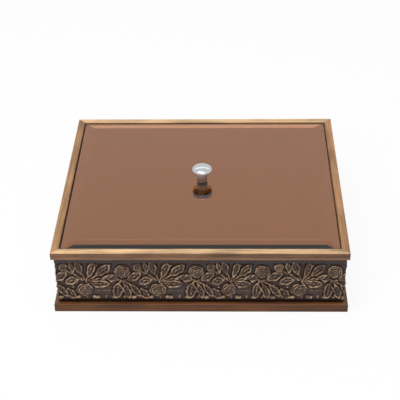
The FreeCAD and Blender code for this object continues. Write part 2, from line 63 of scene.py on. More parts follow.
class Signal:
    """A socket of a shader tree that takes part in Python sums, each of which adds a Math node."""

    def __init__(self, tree, socket=None):
        self.tree = tree
        self.socket = socket

    def node(self, kind, settings=None, inputs=None, output=0):
        """Adds any other node: its settings first, then the values or links of its sockets."""
        made = self.tree.nodes.new(kind)
        for key, value in (settings or {}).items():
            setattr(made, key, value)
        for key, value in (inputs or {}).items():
            if isinstance(value, Signal):
                self.tree.links.new(value.socket, made.inputs[key])
            else:
                made.inputs[key].default_value = value
        return Signal(self.tree, made.outputs[output] if made.outputs else None)

    def maths(self, operation, *terms):
        return self.node("ShaderNodeMath", {"operation": operation}, dict(enumerate(terms)))

    def __add__(self, other):
        return self.maths("ADD", self, other)

    def __sub__(self, other):
        return self.maths("SUBTRACT", self, other)

    def __rsub__(self, other):
        return self.maths("SUBTRACT", other, self)

    def __mul__(self, other):
        return self.maths("MULTIPLY", self, other)

    def __abs__(self):
        return self.maths("ABSOLUTE", self)

    __radd__ = __add__
    __rmul__ = __mul__

    def most(self, other):
        return self.maths("MAXIMUM", self, other)

    def ramp(self, low, high):
        """Rises smoothly from 0 at low to 1 at high."""
        return self.node("ShaderNodeMapRange", {"interpolation_type": "SMOOTHSTEP"},
                         {"Value": self, "From Min": low, "From Max": high})

    def tint(self, colour, other):
        """The first colour where this is 0 and the other where it is 1."""
        return self.node("ShaderNodeMix", {"data_type": "RGBA"},
                         {0: self, 6: rgba(colour), 7: rgba(other)}, 2)

    def stretched(self, factors):
        return self.node("ShaderNodeVectorMath", {"operation": "MULTIPLY"}, {0: self, 1: factors})

    def axis(self, letter):
        return self.node("ShaderNodeSeparateXYZ", inputs={"Vector": self}, output=letter)

    def noise(self, scale=1.0, detail=3.0, roughness=0.5, distortion=0.0):
        return self.node("ShaderNodeTexNoise", inputs={
            "Vector": self, "Scale": scale, "Detail": detail, "Roughness": roughness,
            "Distortion": distortion})

    def attribute(self, name):
        return self.node("ShaderNodeAttribute", {"attribute_name": name}, output="Fac")

    def bump(self, height, strength, distance):
        return self.node("ShaderNodeBump", inputs={
            "Height": height, "Strength": strength, "Distance": distance}, output="Normal")


def rgba(colour):
    """A colour as a socket takes it, with its alpha; a link stays as it is."""
    return colour if isinstance(colour, Signal) else (*colour, 1.0)


def shaded(colour, share):
    """A colour made darker or paler."""
    return [share * level for level in colour]


def new_finish(name):
    """An empty material, and the start of its sums."""
    material = bpy.data.materials.new(name)
    material.use_nodes = True
    material.node_tree.nodes.clear()
    return material, Signal(material.node_tree)


def finished(material, paint, shader):
    """Ends a material's tree in its surface shader."""
    paint.node("ShaderNodeOutputMaterial", inputs={"Surface": shader})
    return material


def principled(paint, **inputs):
    """The main shader, its sockets named with underscores for spaces."""
    return paint.node("ShaderNodeBsdfPrincipled",
                      inputs={key.replace("_", " "): value for key, value in inputs.items()})


def object_place(paint):
    return paint.node("ShaderNodeTexCoord", output="Object")


def dress(node, material):
    """Gives a carried node its finish."""
    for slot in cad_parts[node].material_slots:
        slot.material = material


def new_piece(name, mesh, body, slot, *nodes):
    """Puts a finished mesh in the scene, riding on a body and standing for its nodes."""
    piece = bpy.data.objects.new(name, mesh)
    bpy.context.scene.collection.objects.link(piece)
    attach(piece, body)
    if nodes:
        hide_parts(*nodes)


def colour_property(name, description, default):
    return FloatVectorProperty(name=name, description=description, default=default,
                               subtype="COLOR", min=0.0, max=1.0)


def length_property(name, description, default):
    return FloatProperty(name=name, description=description, default=default,
                         unit="LENGTH", precision=5)


def place_property(name, description, default):
    return FloatVectorProperty(name=name, description=description, default=default,
                               subtype="TRANSLATION", unit="LENGTH")


def angle_property(name, description, degrees):
    return FloatProperty(name=name, description=description, default=math.radians(degrees), subtype="ANGLE")


def level_property(name, description, default):
    return FloatProperty(name=name, description=description, default=default)


# Sizes and colours

class CarvingSettings(PropertyGroup):
    repeat: length_property("Repeat", "Length of one run of the carved pattern", 73.1 * MM)
    step: length_property("Step", "Spacing of the carved surface's points", 0.45 * MM)
    ground: length_property("Ground", "Depth of the ground below the band's face", 1.6 * MM)
    proud: length_property("Proud", "How far the raised forms stand before the band's face", 0.8 * MM)
    glaze: colour_property("Glaze", "Dark glaze on the ground", (0.074, 0.051, 0.044))
    # Deep glaze: thick glaze in the hollows, and also painted shade there and above the raised forms
    deep_glaze_and_shade: colour_property("Deep glaze", "Glaze lying thick in the hollows", (0.021, 0.0075, 0.003))
    cool_glaze: colour_property("Cool glaze", "Greyer patches of the glaze", (0.072, 0.061, 0.063))
    thin_glaze: colour_property("Thin glaze", "Brown where the glaze is rubbed thin", (0.20, 0.11, 0.062))
    rubbed_wood: colour_property("Rubbed wood", "Tan wood where the glaze is rubbed off",
                                 (0.64, 0.435, 0.275))


class TimberSettings(PropertyGroup):
    # The front and back bars' tops are paler than the end bars' tops: painted sheen of their grain
    rim_long_with_sheen: colour_property("Long rim bars", "Top of the front and back rim bars", (0.575, 0.365, 0.185))
    rim_short: colour_property("Short rim bars", "Top of the left and right rim bars", (0.35, 0.178, 0.07))
    rim_side: colour_property("Rim sides", "Stained outer faces of the rim", (0.275, 0.142, 0.074))
    plinth: colour_property("Plinth", "Stained wood of the plinth", (0.150, 0.056, 0.0185))
    wall: colour_property("Walls", "Wood of the wall boards inside", (0.40, 0.21, 0.10))
    board: colour_property("Base board", "Veneer of the base panel", (0.33, 0.165, 0.078))


class LidSettings(PropertyGroup):
    tint: colour_property("Tint", "Colour that the glass leaves of the light", (0.265, 0.098, 0.03))
    silver: colour_property("Silver", "Mirror layer under the glass", (0.93, 0.93, 0.92))
    backing: colour_property("Backing", "Paint behind the mirror layer", (0.075, 0.066, 0.06))
    arris: length_property("Arris", "Width of the polished outer edge", 0.5 * MM)
    bevel_soft: length_property("Soft bevel", "Width over which the bevel bends from the flat", 1.5 * MM)
    coat: length_property("Coat", "Thickness of the painted board behind the mirror", 1 * MM)


class KnobSettings(PropertyGroup):
    chrome: colour_property("Chrome", "Plating of the knob", (0.51, 0.52, 0.545))
    # Pale paint on the collar's lip under the head: a painted highlight of the light the lip catches
    collar_highlight: colour_property("Collar", "Pale ring under the knob's head", (0.86, 0.70, 0.54))
    steel: colour_property("Steel", "Screws and brads", (0.52, 0.51, 0.49))
    soft_washer: colour_property("Soft washer", "Rubber between knob and glass", (0.05, 0.048, 0.046))
    nylon: colour_property("Nylon", "Washer under the screw's head", (0.62, 0.60, 0.55))
    turns: IntProperty(name="Turns", description="Facets round the knob", default=112, min=24)


class StageSettings(PropertyGroup):
    camera_place: place_property("Camera place", "Where the camera stands", (0.03015, -0.95356, 0.73095))
    camera_yaw: angle_property("Camera yaw", "Turn to the right of +Y", -1.985)
    camera_pitch: angle_property("Camera pitch", "Tilt below the horizon", 35.548)
    camera_roll: angle_property("Camera roll", "Turn about the line of sight", -1.204)
    camera_lens: FloatProperty(name="Camera lens", description="Focal length on a 36 mm sensor",
                               unit="CAMERA", default=95.146)
    key_place: place_property("Key place", "Middle of the overhead soft light", (-0.12, -0.3, 1.45))
    key_width: length_property("Key width", "Long side of the overhead light", 1.1)
    key_depth: length_property("Key depth", "Short side of the overhead light", 0.5)
    key_level: level_property("Key level", "Brightness of the overhead light's face", 7.0)
    front_place: place_property("Front place", "Middle of the light before the object", (-0.85, -1.0, 0.85))
    front_size: length_property("Front size", "Side of the light before the object", 0.7)
    front_level: level_property("Front level", "Brightness of the front light's face", 4.1)
    back_place: place_property("Back place", "Middle of the light behind the object", (0.0, 1.475, 1.576))
    back_width: length_property("Back width", "Long side of the back light", 2.6)
    back_depth: length_property("Back depth", "Short side of the back light", 0.45)
    back_level: level_property("Back level", "Brightness of the back light's face", 1.1)
    floor_half: length_property("Floor", "Half the side of the floor", 4.0)


class WoodenBoxSettings(PropertyGroup):
    carving: PointerProperty(type=CarvingSettings)
    timber: PointerProperty(type=TimberSettings)
    lid: PointerProperty(type=LidSettings)
    knob: PointerProperty(type=KnobSettings)
    stage: PointerProperty(type=StageSettings)


# Carved bands: a relief laid out in millimetres, along u and up z, for one run of the pattern

# Places of the two sprays along a run
FIRST_SPRAY, SECOND_SPRAY = 0.0, 35.2
# How much fuller than its listed width a leaf is cut, and how far every edge is rounded off
LEAF_FULLNESS, ROUNDING = 1.08, 0.36
# Leaf: steps along the midrib, sharpness of both ends, and its rim, midrib, dish and side veins
RIB_STEPS, LEAF_POINT = 64, 2.0
RIM_INSET, RIM_HALF, RIM_RISE = 0.75, 0.65, 0.85
RIB_HALF, RIB_RISE, DISH_DEPTH = 0.7, 1.45, 1.25
VEIN_SPACING, VEIN_LEAN, VEIN_RISE = 4.6, 0.2, 0.85
DISH_FROM, DISH_TO = 0.9, 2.2
# Lobed leaf: shift between its two edges, and width at a notch and gained at a lobe
LOBE_SHIFT, LOBE_NOTCH, LOBE_GAIN = 0.25, 0.88, 0.14
# How far a leaf leans sideways, and rises from base to tip
LEAN_ASIDE, LEAN_ALONG = 0.45, 0.3
STEM_BED, STEM_HALF, STEM_RISE = 0.2, 1.0, 1.45
# Rose: level of the outer ring, step to the next, cup of a petal and rise and width of its rim
PETAL_BED, PETAL_STEP, PETAL_CUP, PETAL_RIM, PETAL_RIM_HALF = 0.9, 0.3, 0.5, 0.8, 0.6
# Petal edge: its reach at the ends, what it gains at the middle, and how much less it reaches at one end
PETAL_REACH, PETAL_GAIN, PETAL_TUCK = 0.86, 0.14, 0.06
# Curl: half width and spacing of the ridge, turn where it starts, and levels of the disc and the ridge
CURL_HALF, CURL_PITCH_SHARE, CURL_START = 0.8, 0.46, 0.375
CURL_DISC, CURL_RIDGE = 0.75, 2.0
BUD_LIFT = 2.0
# Depth and reach of the line cut round a form
LEAF_CUT, STEM_CUT, PETAL_CUT, BEAD_CUT = (0.65, 1.0), (0.5, 0.8), (0.7, 0.6), (0.3, 0.6)
CURL_DISC_CUT, CURL_RIDGE_CUT = (0.3, 0.7), (0.2, 0.4)
# Where the flank of a form starts outside its edge and ends inside it
FLANK_FROM, FLANK_TO = -0.15, 0.35
# Added to a radius so that a rounded form still has a little height at its edge
ROUND_SPARE = 0.05
# Uneven hand: size of a ripple, then each wave's count along the run, slope up the band and phase
SWAY = ((0.3, (7, 0.31, 0)), (0.2, (13, -0.57, 1)))
HEAVE = ((0.3, (6, -0.37, 2)), (0.2, (11, 0.61, 0)))
UNEVEN = ((0.55, (5, 0.43, 0.4), (-4, 0.29, 0)), (0.45, (14, -0.83, 1.3)))
GOUGES = ((0.14, (3, 0.35, 0), (1, 0.55, 0)), (0.10, (19, 0.9, 0), (-9, 1.5, 0)))
# Reach of the surroundings that ridges and hollows are told from, and how far up the hollows' painted shade
# is moved, so that it lies as a shadow above each raised form
RIDGE_REACH, HOLLOW_REACH, HOLLOW_SHADE_RISE = 1.4, 2.0, 0.9
# Runs more than a side needs, half of them before its start
SPARE_RUNS = 2
# Welding distances in one step of the carved surface
WELDS_A_STEP = 20
# Points that lie this many times deeper than the ground belong to the back of a band
BACK_DEPTH = 1.2
# Angle from which an edge is shaded as sharp
CARVING_SHARP = math.radians(80)

# Spray, base, tip, width, share of the length where it is widest, sideways bow, lobes, lift
LEAVES = (
    (FIRST_SPRAY, (-3.2, 45.6), (-7.2, 63.4), 8.0, 0.52, 0.8, 0, 1.6),
    (FIRST_SPRAY, (2.0, 40.0), (8.0, 61.8), 7.4, 0.62, -0.8, 0, 1.6),
    (FIRST_SPRAY, (-11.6, 46.0), (-15.2, 61.8), 4.6, 0.55, -0.8, 0, 1.4),
    (FIRST_SPRAY, (10.4, 43.4), (25.6, 58.8), 9.8, 0.50, 0.8, 3, 1.55),
    (FIRST_SPRAY, (14.0, 40.4), (26.4, 45.0), 5.0, 0.55, -0.6, 0, 1.4),
    (FIRST_SPRAY, (4.0, 35.6), (23.6, 34.4), 9.8, 0.50, -1.2, 2, 1.65),
    (FIRST_SPRAY, (-5.5, 39.0), (-21.0, 33.2), 8.4, 0.50, -2.0, 2, 1.55),
    (FIRST_SPRAY, (-19.6, 28.8), (-11.6, 14.2), 8.6, 0.55, -0.6, 3, 1.5),
    (SECOND_SPRAY, (-4.2, 35.0), (-7.8, 13.9), 10.4, 0.50, 1.2, 3, 1.6),
    (SECOND_SPRAY, (1.2, 35.6), (6.4, 13.8), 8.0, 0.58, 0.6, 2, 1.6),
    (SECOND_SPRAY, (5.8, 34.0), (18.0, 16.0), 7.4, 0.58, 1.4, 0, 1.4),
    (SECOND_SPRAY, (4.0, 38.6), (19.8, 48.8), 9.6, 0.52, -0.6, 2, 1.6),
    (SECOND_SPRAY, (-2.8, 38.4), (-15.6, 41.0), 8.6, 0.58, -1.6, 2, 1.5),
)
STEMS = (
    (FIRST_SPRAY, ((0.0, 36.8), (-3.0, 39.4), (-8.0, 43.6), (-12.0, 46.6), (-17.0, 49.6), (-20.4, 50.2))),
    (FIRST_SPRAY, ((0.0, 36.8), (-3.0, 38.4), (-6.5, 39.6))),
    (FIRST_SPRAY, ((0.0, 37.0), (4.4, 39.8), (11.0, 44.2))),
    (FIRST_SPRAY, ((0.4, 36.8), (6.4, 38.0), (14.6, 40.8))),
    (FIRST_SPRAY, ((0.0, 37.2), (-1.4, 41.0), (-3.6, 47.4))),
    (FIRST_SPRAY, ((0.0, 37.2), (1.6, 40.2), (2.6, 43.5))),
    (FIRST_SPRAY, ((-0.4, 36.8), (2.4, 33.6), (4.8, 30.6), (6.0, 27.5))),
    (SECOND_SPRAY, ((0.4, 37.6), (-3.4, 38.3))),
    (SECOND_SPRAY, ((0.4, 37.6), (3.4, 38.4))),
    (SECOND_SPRAY, ((0.4, 37.4), (-2.0, 36.4), (-3.8, 34.6))),
    (SECOND_SPRAY, ((0.4, 37.4), (0.9, 35.0), (1.6, 32.0))),
    (SECOND_SPRAY, ((0.4, 37.4), (3.2, 36.0), (6.6, 33.0))),
)
# Spray, middle, radius, turn of the petals
ROSES = ((FIRST_SPRAY, (-2.0, 25.8), 8.1, 0.4), (SECOND_SPRAY, (0.6, 49.6), 8.1, 1.7))
# Share of the rose's radius, petals in the ring, and the ring's own turn
ROSE_RINGS = ((1.0, 5, 0.0), (0.74, 4, 0.63), (0.48, 3, 0.2), (0.22, 2, 0.9))
CURL = (FIRST_SPRAY, (-20.6, 55.4), 5.0)
BUDS = (
    (SECOND_SPRAY, (11.4, 31.6), 1.6),
    (FIRST_SPRAY, (11.4, 57.4), 1.4),
    (FIRST_SPRAY, (-12.8, 29.4), 1.4),
)
# Level, half width and rise of the reeds that run behind the sprays
REEDS = ((27.9, 0.55, 0.55), (24.4, 1.5, 0.75), (21.2, 0.6, 0.55))
FILLET_FOOT, FILLET_HEAD = 60.0, 61.2
BEAD_LEVEL = 15.9
BEADS_A_RUN = 4
# Place along the run, length, height and lift of the long and the round bead
BEAD_KINDS = ((9.3, 7.7, 4.3, 2.0), (0.3, 1.9, 4.0, 1.6))
FOOT_GROOVE_TOP, FOOT_GROOVE_SOFT, FOOT_GROOVE_DEPTH = 13.4, 1.0, 1.9
# Places of the sprays along a long and a short side, counted from its middle, first and second in turn
LONG_SPRAYS = (-117.4, -79.6, -42.2, -4.0, 30.8, 61.9, 103.2, 135.3)
SHORT_SPRAYS = (-109.7, -73.6, -36.2, 0.6, 36.2, 71.1, 109.1)
# Width of the plain post at a corner, and its level from the band's face
CORNER_POST, CORNER_LEVEL = 5.0, -0.4


def soft_step(x, low, high):
    t = np.clip((x - low) / (high - low), 0, 1)
    return t * t * (3 - 2 * t)


class Relief:
    """The height of the carving over one run, in millimetres from the band's face."""

    def __init__(self, run, low, high, step, ground):
        self.run = run
        self.ground = -ground
        self.step = step
        columns = round(run / step)
        rows = round((high - low) / step)
        self.u = np.arange(columns) * run / columns
        self.z = np.linspace(low, high, rows + 1)
        self.across, self.up = np.meshgrid(self.u, self.z)
        self.sway = self.ripples(SWAY)
        self.heave = self.ripples(HEAVE)
        self.uneven = self.ripples(UNEVEN)
        self.height = self.lay_ground()

    def ripples(self, table):
        """A sum of waves, or of waves times waves, that closes over the run."""
        turn = 2 * np.pi * self.across / self.run
        total = np.zeros_like(turn)
        for size, *waves in table:
            part = size
            for count, slope, phase in waves:
                part = part * np.sin(count * turn + slope * self.up + phase)
            total = total + part
        return total

    def lay_ground(self):
        """The gouged ground with its reeds, and the plain fillet over it."""
        height = self.ground + self.ripples(GOUGES)
        for level, half, rise in REEDS:
            height = np.maximum(height, self.ground + rise * np.exp(-((self.up - level) / half) ** 4))
        return height * (1 - soft_step(self.up, FILLET_FOOT, FILLET_HEAD))

    def offset(self, spray, point):
        """Sideways and upward distance from a point of a spray, a little uneven as the hand cuts."""
        du = (self.across - spray - point[0] + self.run / 2) % self.run - self.run / 2
        return du + self.sway, self.up - point[1] + self.heave

    def lay(self, inside, rise, groove, reach):
        """Lays a raised form over what is there, with a cut line round it."""
        cut = groove * np.exp(-(np.clip(-inside, 0, None) / reach) ** 2)
        below = self.height - cut
        cover = soft_step(inside, FLANK_FROM, FLANK_TO)
        self.height = below + (np.maximum(rise, below) - below) * cover

    def leaf(self, spray, base, tip, width, widest, bow, lobes, lift):
        """A dished leaf with a raised rim, a midrib and side veins."""
        du, dz = self.offset(spray, base)
        width = width * LEAF_FULLNESS
        axis = np.subtract(tip, base)
        length = np.hypot(*axis)
        axis = axis / length
        along = du * axis[0] + dz * axis[1]
        aside = dz * axis[0] - du * axis[1]
        where = np.zeros_like(du)
        nearest = np.full_like(du, np.inf)
        for share in np.linspace(0, 1, RIB_STEPS):
            gap = np.hypot(along - share * length, aside - bow * 4 * share * (1 - share))
            closer = gap < nearest
            nearest = np.where(closer, gap, nearest)
            where = np.where(closer, share, where)
        offset = aside - bow * 4 * where * (1 - where)
        half = (np.clip(where, 1e-6, 1) / widest) ** (widest * LEAF_POINT)
        half = half * (np.clip(1 - where, 1e-6, 1) / (1 - widest)) ** ((1 - widest) * LEAF_POINT)
        half = half * width / 2
        if lobes:
            wave = np.abs(np.sin(np.pi * (lobes * where + LOBE_SHIFT * np.sign(offset))))
            half = half * (LOBE_NOTCH + LOBE_GAIN * wave)
        inside = half - nearest
        lower = -np.tanh(offset / 0.8) * axis[0]
        rim = np.exp(-((inside - RIM_INSET) / RIM_HALF) ** 2) * (1 + 0.5 * self.uneven + 0.4 * lower)
        dish = soft_step(inside, DISH_FROM, DISH_TO)
        rib = np.exp(-(offset / RIB_HALF) ** 2) * soft_step(where, 0.0, 0.12) * (1 - 0.4 * where)
        slant = length / VEIN_SPACING * where - VEIN_LEAN * np.abs(offset)
        veins = np.clip(np.cos(2 * np.pi * slant), 0, 1) ** 2
        tilt = LEAN_ASIDE * np.clip(2 * offset / width, -1, 1) + LEAN_ALONG * (where - 0.5)
        rise = self.ground + lift + tilt + RIM_RISE * rim
        rise = rise + dish * (RIB_RISE * rib - DISH_DEPTH + VEIN_RISE * veins * (1 - rib))
        self.lay(inside, rise, *LEAF_CUT)

    def stem(self, spray, points):
        """A rounded stem along straight pieces."""
        du, dz = self.offset(spray, points[0])
        knots = np.subtract(points, points[0])
        gap = np.full_like(du, np.inf)
        for start, end in zip(knots, knots[1:]):
            run = end - start
            t = np.clip(((du - start[0]) * run[0] + (dz - start[1]) * run[1]) / (run @ run), 0, 1)
            gap = np.minimum(gap, np.hypot(du - start[0] - t * run[0], dz - start[1] - t * run[1]))
        arch = np.sqrt(np.clip(1 - (gap / (STEM_HALF + ROUND_SPARE)) ** 2, 0, 1))
        self.lay(STEM_HALF - gap, self.ground + STEM_BED + STEM_RISE * arch, *STEM_CUT)

    def rose(self, spray, middle, radius, turn):
        """Rings of overlapping petals, each ring higher than the one outside it."""
        du, dz = self.offset(spray, middle)
        r = np.hypot(du, dz)
        angle = np.arctan2(dz, du)
        for index, (share, petals, phase) in enumerate(ROSE_RINGS):
            inner = ROSE_RINGS[index + 1][0] if index + 1 < len(ROSE_RINGS) else 0.0
            petal = (petals * (angle - turn - phase) / (2 * np.pi)) % 1.0
            swell = PETAL_GAIN * np.sin(np.pi * petal) ** 0.5
            edge = radius * share * (PETAL_REACH + swell - PETAL_TUCK * (petal - 0.5))
            inside = edge - r
            slope = np.clip((r / edge - 0.9 * inner) / (1 - 0.9 * inner), 0, 1)
            rim = np.exp(-((inside - PETAL_RIM_HALF) / PETAL_RIM_HALF) ** 2)
            rise = self.ground + PETAL_BED + PETAL_STEP * index + PETAL_CUP * slope ** 1.6 + PETAL_RIM * rim
            self.lay(inside, rise, *PETAL_CUT)

    def curl(self, spray, middle, radius):
        """A fiddlehead: a rounded ridge wound into a spiral on a low disc."""
        du, dz = self.offset(spray, middle)
        r = np.hypot(du, dz)
        turn = (np.arctan2(dz, du) / (2 * np.pi) + CURL_START) % 1.0
        pitch = radius * CURL_PITCH_SHARE
        lap = np.round(r / pitch - turn)
        gap = r - (lap + turn) * pitch
        self.lay(radius + 0.4 - r, np.full_like(r, self.ground + CURL_DISC), *CURL_DISC_CUT)
        inside = np.minimum(CURL_HALF - np.abs(gap), radius + 0.2 - (lap + turn) * pitch)
        self.lay(inside, self.ground + CURL_RIDGE - 0.5 * (gap / CURL_HALF) ** 2, *CURL_RIDGE_CUT)

    def bead(self, u, level, length, height, lift):
        """A rounded bead, long or tall, or a round bud."""
        du, dz = self.offset(0.0, (u, level))
        x = np.clip(np.abs(du) - max(length - height, 0) / 2, 0, None)
        y = np.clip(np.abs(dz) - max(height - length, 0) / 2, 0, None)
        radius = min(length, height) / 2
        gap = np.hypot(x, y)
        dome = np.sqrt(np.clip(1 - (gap / (radius + ROUND_SPARE)) ** 2, 0, 1)) ** 0.8
        self.lay(radius - gap, self.ground + lift * dome, *BEAD_CUT)

    def carve(self):
        """Cuts every form of the run, then the groove at its foot, and rounds the edges."""
        for place, length, height, lift in BEAD_KINDS:
            for index in range(BEADS_A_RUN):
                self.bead(place + index * self.run / BEADS_A_RUN, BEAD_LEVEL, length, height, lift)
        for stem in STEMS:
            self.stem(*stem)
        self.curl(*CURL)
        for leaf in LEAVES:
            self.leaf(*leaf)
        for rose in ROSES:
            self.rose(*rose)
        for spray, (u, level), radius in BUDS:
            self.bead(spray + u, level, 2 * radius, 2 * radius, BUD_LIFT)
        self.height = self.height - (FOOT_GROOVE_DEPTH + self.height) * self.foot_groove()
        self.height = self.blurred(ROUNDING)

    def foot_groove(self):
        """1 in the groove along the foot, 0 above it."""
        return 1 - soft_step(self.up, FOOT_GROOVE_TOP - FOOT_GROOVE_SOFT, FOOT_GROOVE_TOP)

    def blurred(self, reach):
        """The height averaged over its surroundings, the run taken as endless."""
        taps = int(3 * reach / self.step)
        weights = np.exp(-0.5 * (np.arange(-taps, taps + 1) * self.step / reach) ** 2)
        weights = weights / weights.sum()
        level = sum(w * np.roll(self.height, i - taps, axis=1) for i, w in enumerate(weights))
        padded = np.pad(level, ((taps, taps), (0, 0)), mode="edge")
        return sum(w * padded[i:i + len(level)] for i, w in enumerate(weights))

    def rubbed(self):
        """How far a cloth has rubbed the glaze off: most on the ridges."""
        carved = 1 - soft_step(self.up, FILLET_FOOT - 1.0, FILLET_FOOT) * (self.height < 0.2)
        ridge = soft_step(self.height - self.blurred(RIDGE_REACH), -0.08, 0.5)
        return carved * ridge * (0.8 + 0.25 * self.uneven)

    def hollow_glaze_and_shade(self):
        """How deep a point lies below its surroundings, moved up so that painted shade lies above raised
        forms, and 1 in the foot groove: thick glaze with painted shade.
        """
        over = np.roll(self.blurred(HOLLOW_REACH), round(HOLLOW_SHADE_RISE / self.step), axis=0)
        return np.maximum(soft_step(over - self.height, 0.05, 0.85), self.foot_groove())


def carved_tile(relief, face_to_back):
    """One run of the band as an open-ended tube: carved front, plain top, back and underside."""
    height = np.concatenate([relief.height, relief.height[:, :1]], axis=1)
    u = np.append(relief.u, relief.run)
    rows, columns = height.shape
    points = np.zeros((rows + 2, columns, 3))
    points[:, :, 0] = u
    points[:rows, :, 1] = -height
    points[:rows, :, 2] = relief.z[:, None]
    points[rows:, :, 1] = face_to_back
    points[rows, :, 2] = relief.z[-1]
    points[rows + 1, :, 2] = relief.z[0]
    index = np.arange((rows + 2) * columns).reshape(rows + 2, columns)
    above = np.roll(index, -1, axis=0)
    quads = np.stack([index[:, :-1], index[:, 1:], above[:, 1:], above[:, :-1]], axis=-1)
    mesh = bpy.data.meshes.new("carved_run")
    mesh.from_pydata((points * MM).reshape(-1, 3), [], quads.reshape(-1, 4).tolist())
    # rubbed: glaze worn off the ridges; the second mask: thick glaze and painted shade in the hollows
    for name, values in (("rubbed", relief.rubbed()), ("hollow_glaze_and_shade", relief.hollow_glaze_and_shade())):
        whole = np.concatenate([values, values[:, :1]], axis=1)
        whole = np.concatenate([whole, np.zeros((2, columns))], axis=0)
        mesh.attributes.new(name, "FLOAT", "POINT").data.foreach_set("value", whole.ravel())
    return mesh


def repeated_run_tree():
    """Geometry nodes that set runs of the carving end to end and weld them."""
    tree = bpy.data.node_groups.new("Repeated carving", "GeometryNodeTree")
    inputs = (("Run", "NodeSocketObject"), ("Repeat", "NodeSocketFloat"), ("Count", "NodeSocketInt"),
              ("Weld", "NodeSocketFloat"), ("Finish", "NodeSocketMaterial"))
    for name, kind in inputs:
        tree.interface.new_socket(name, in_out="INPUT", socket_type=kind)
    tree.interface.new_socket("Band", in_out="OUTPUT", socket_type="NodeSocketGeometry")
    given = tree.nodes.new("NodeGroupInput").outputs
    step = tree.nodes.new("ShaderNodeCombineXYZ")
    line = tree.nodes.new("GeometryNodeMeshLine")
    run = tree.nodes.new("GeometryNodeObjectInfo")
    placed = tree.nodes.new("GeometryNodeInstanceOnPoints")
    whole = tree.nodes.new("GeometryNodeRealizeInstances")
    welded = tree.nodes.new("GeometryNodeMergeByDistance")
    covered = tree.nodes.new("GeometryNodeSetMaterial")
    result = tree.nodes.new("NodeGroupOutput")
    for source, target in (
            (given["Repeat"], step.inputs["X"]), (step.outputs["Vector"], line.inputs["Offset"]),
            (given["Count"], line.inputs["Count"]), (given["Run"], run.inputs["Object"]),
            (line.outputs["Mesh"], placed.inputs["Points"]),
            (run.outputs["Geometry"], placed.inputs["Instance"]),
            (placed.outputs["Instances"], whole.inputs["Geometry"]),
            (whole.outputs["Geometry"], welded.inputs["Geometry"]),
            (given["Weld"], welded.inputs["Distance"]),
            (welded.outputs["Geometry"], covered.inputs["Geometry"]),
            (given["Finish"], covered.inputs["Material"]),
            (covered.outputs["Geometry"], result.inputs["Band"])):
        tree.links.new(source, target)
    return tree


def long_carving(tile, tree, repeat, count, weld, finish):
    """Runs set end to end as one plain mesh."""
    run = bpy.data.objects.new("carved_run", tile)
    strip = bpy.data.objects.new("carved_strip", bpy.data.meshes.new("carved_strip"))
    for made in (run, strip):
        bpy.context.scene.collection.objects.link(made)
    modifier = strip.modifiers.new("Repeated carving", "NODES")
    modifier.node_group = tree
    values = {"Run": run, "Repeat": repeat, "Count": count, "Weld": weld, "Finish": finish}
    for item in tree.interface.items_tree:
        if item.in_out == "INPUT":
            modifier[item.identifier] = values[item.name]
    graph = bpy.context.evaluated_depsgraph_get()
    mesh = bpy.data.meshes.new_from_object(strip.evaluated_get(graph))
    for made in (strip, run):
        bpy.data.objects.remove(made)
    return mesh


def cut_mitres(mesh, half_length, face):
    """Cuts a band's ends at 45 degrees and closes them."""
    shape = bmesh.new()
    shape.from_mesh(mesh)
    for end in (-1, 1):
        cut = bmesh.ops.bisect_plane(
            shape, geom=shape.verts[:] + shape.edges[:] + shape.faces[:],
            plane_co=(end * half_length, -face, 0), plane_no=(end, 1, 0), clear_outer=True)
        edges = [item for item in cut["geom_cut"] if isinstance(item, bmesh.types.BMEdge)]
        bmesh.ops.contextual_create(shape, geom=edges)
    bmesh.ops.recalc_face_normals(shape, faces=shape.faces[:])
    for face_made in shape.faces:
        face_made.smooth = True
    shape.to_mesh(mesh)
    shape.free()
    mesh.set_sharp_from_angle(angle=CARVING_SHARP)


def carved_wood(settings):
    """Dark glazed wood, rubbed back to tan on the ridges of the carving, with painted shade in its hollows
    and above its raised forms.
    """
    material, paint = new_finish("Glazed carved wood")
    place = object_place(paint)
    rubbed = paint.attribute("rubbed")
    hollow_glaze_and_shade = paint.attribute("hollow_glaze_and_shade")
    cloud = place.noise(scale=90.0)
    speck = place.noise(scale=900.0, roughness=0.6)
    fibre = place.stretched((1.0, 1.0, 6.0)).noise(scale=420.0, roughness=0.6)
    glaze = cloud.ramp(0.42, 0.62).tint(settings.glaze, settings.cool_glaze)
    rub = place.noise(scale=240.0, detail=2.0).ramp(0.3, 0.7)
    patch = place.noise(scale=95.0, detail=2.0).ramp(0.35, 0.65)
    wear = rubbed * (0.36 + 0.6 * rub + 0.4 * patch + 0.3 * (speck - 0.5))
    wood = fibre.ramp(0.3, 0.75).tint(shaded(settings.rubbed_wood, 0.82), settings.rubbed_wood)
    colour = wear.ramp(0.05, 0.45).tint(glaze, settings.thin_glaze)
    colour = wear.ramp(0.35, 0.95).tint(colour, wood)
    # Darkest in the hollows and the foot groove: thick glaze and painted shade
    colour = (hollow_glaze_and_shade * (0.8 + 0.4 * speck)).ramp(0.05, 0.8).tint(colour, settings.deep_glaze_and_shade)
    shader = principled(
        paint, Base_Color=colour, Roughness=0.6 - 0.2 * wear.ramp(0.1, 0.9) + 0.1 * (speck - 0.5),
        Normal=paint.bump(fibre * 0.6 + speck * 0.4, strength=0.35, distance=0.12 * MM),
        Specular_IOR_Level=0.3)
    return finished(material, paint, shader)


